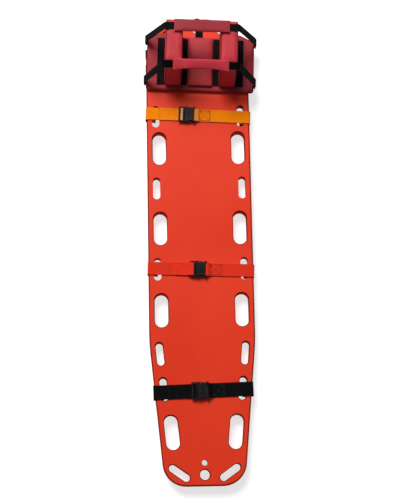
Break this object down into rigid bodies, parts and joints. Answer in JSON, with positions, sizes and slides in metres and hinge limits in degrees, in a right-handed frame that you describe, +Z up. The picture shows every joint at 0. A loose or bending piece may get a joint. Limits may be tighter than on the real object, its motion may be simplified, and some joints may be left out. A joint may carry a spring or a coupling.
{
  "type": "spine board",
  "caption": "Hollow moulded rescue board with handholds, webbing straps with side release buckles, and a head immobiliser of foam blocks, pads and chin and forehead straps.",
  "frame": {"origin": "middle of the board's flat underside", "axes": "+X to the right across the board, +Y along it towards the patient's head, +Z up out of its top face"},
  "size_m": [0.4537, 1.8518, 0.2422],
  "materials": {
    "board_plastic": "satin rotomoulded polyethylene",
    "foam": "open foam",
    "webbing_orange": "woven nylon webbing",
    "webbing_red": "woven nylon webbing",
    "webbing_black": "woven nylon webbing",
    "buckle_plastic": "moulded acetal, fine satin",
    "vinyl_red": "coated fabric with a soft sheen",
    "stiffener_board": "plain sheet",
    "hook_loop_black": "hook and loop fastener",
    "pad_red": "coated fabric over foam, stitched",
    "ring_plastic": "moulded acetal"
  },
  "bodies": {
    "board": {"board_shell": "board_plastic", "board_core": "foam", "chest_run": "webbing_orange", "chest_anchor": "webbing_orange", "chest_socket": "buckle_plastic", "hip_run": "webbing_red", "hip_anchor": "webbing_red", "hip_socket": "buckle_plastic", "leg_run": "webbing_black", "leg_anchor": "webbing_black", "leg_socket": "buckle_plastic", "base_cover": "vinyl_red", "base_stiffener": "stiffener_board", "left_loop_patch": "hook_loop_black", "right_loop_patch": "hook_loop_black", "head_pad_cover": "vinyl_red", "head_pad_foam": "foam", "strap_rings": "ring_plastic", "ring_tabs": "webbing_black", "fastening_tabs": "hook_loop_black", "left_ties": "webbing_black", "right_ties": "webbing_black", "end_tie": "webbing_black"},
    "chest_plug_body": {"chest_plug": "buckle_plastic", "chest_fold": "webbing_orange"},
    "chest_prong_upper_body": {"chest_prong_upper": "buckle_plastic"},
    "chest_prong_lower_body": {"chest_prong_lower": "buckle_plastic"},
    "hip_plug_body": {"hip_plug": "buckle_plastic", "hip_fold": "webbing_red"},
    "hip_prong_upper_body": {"hip_prong_upper": "buckle_plastic"},
    "hip_prong_lower_body": {"hip_prong_lower": "buckle_plastic"},
    "leg_plug_body": {"leg_plug": "buckle_plastic", "leg_fold": "webbing_black"},
    "leg_prong_upper_body": {"leg_prong_upper": "buckle_plastic"},
    "leg_prong_lower_body": {"leg_prong_lower": "buckle_plastic"},
    "left_block": {"left_block_cover": "vinyl_red", "left_block_foam": "foam", "left_block_hook": "hook_loop_black"},
    "right_block": {"right_block_cover": "vinyl_red", "right_block_foam": "foam", "right_block_hook": "hook_loop_black"},
    "forehead_strap_body": {"forehead_strap": "webbing_black", "forehead_pad": "pad_red"},
    "chin_strap_body": {"chin_strap": "webbing_black", "chin_pad": "pad_red"}
  },
  "joints": [
    {"name": "chest_release", "type": "slide", "parent": "board", "child": "chest_plug_body", "axis": [-0.9986, 0.0523, 0], "range_m": [0, 0.045], "deforming": ["chest_prong_upper", "chest_prong_lower"]},
    {"name": "chest_prong_upper_squeeze", "type": "hinge", "parent": "chest_plug_body", "child": "chest_prong_upper_body", "pos_m": [-0.05283, 0.5433, 0.0584], "axis": [0, 0, -1], "range_deg": [0, 9], "stiffness_Nm_per_rad": 0.3},
    {"name": "chest_prong_lower_squeeze", "type": "hinge", "parent": "chest_plug_body", "child": "chest_prong_lower_body", "pos_m": [-0.05503, 0.50136, 0.0584], "axis": [0, 0, 1], "range_deg": [0, 9], "stiffness_Nm_per_rad": 0.3},
    {"name": "hip_release", "type": "slide", "parent": "board", "child": "hip_plug_body", "axis": [-0.9993, 0.0384, 0], "range_m": [0, 0.045], "deforming": ["hip_prong_upper", "hip_prong_lower"]},
    {"name": "hip_prong_upper_squeeze", "type": "hinge", "parent": "hip_plug_body", "child": "hip_prong_upper_body", "pos_m": [-0.02058, -0.07819, 0.0584], "axis": [0, 0, -1], "range_deg": [0, 9], "stiffness_Nm_per_rad": 0.3},
    {"name": "hip_prong_lower_squeeze", "type": "hinge", "parent": "hip_plug_body", "child": "hip_prong_lower_body", "pos_m": [-0.02219, -0.12016, 0.0584], "axis": [0, 0, 1], "range_deg": [0, 9], "stiffness_Nm_per_rad": 0.3},
    {"name": "leg_release", "type": "slide", "parent": "board", "child": "leg_plug_body", "axis": [-0.9997, -0.0262, 0], "range_m": [0, 0.045], "deforming": ["leg_prong_upper", "leg_prong_lower"]},
    {"name": "leg_prong_upper_squeeze", "type": "hinge", "parent": "leg_plug_body", "child": "leg_prong_upper_body", "pos_m": [-0.02309, -0.5456, 0.0584], "axis": [0, 0, -1], "range_deg": [0, 9], "stiffness_Nm_per_rad": 0.3},
    {"name": "leg_prong_lower_squeeze", "type": "hinge", "parent": "leg_plug_body", "child": "leg_prong_lower_body", "pos_m": [-0.02189, -0.59158, 0.0584], "axis": [0, 0, 1], "range_deg": [0, 9], "stiffness_Nm_per_rad": 0.3},
    {"name": "left_block_in", "type": "slide", "parent": "board", "child": "left_block", "axis": [0.999, -0.0436, 0], "range_m": [0, 0.02]},
    {"name": "right_block_in", "type": "slide", "parent": "board", "child": "right_block", "axis": [-0.999, 0.0436, 0], "range_m": [0, 0.02]},
    {"name": "forehead_strap_open", "type": "hinge", "parent": "board", "child": "forehead_strap_body", "pos_m": [-0.20104, 0.83093, 0.0701], "axis": [-0.0436, -0.999, 0], "range_deg": [0, 110]},
    {"name": "chin_strap_open", "type": "hinge", "parent": "board", "child": "chin_strap_body", "pos_m": [-0.20837, 0.66309, 0.0701], "axis": [-0.0436, -0.999, 0], "range_deg": [0, 110]}
  ]
}
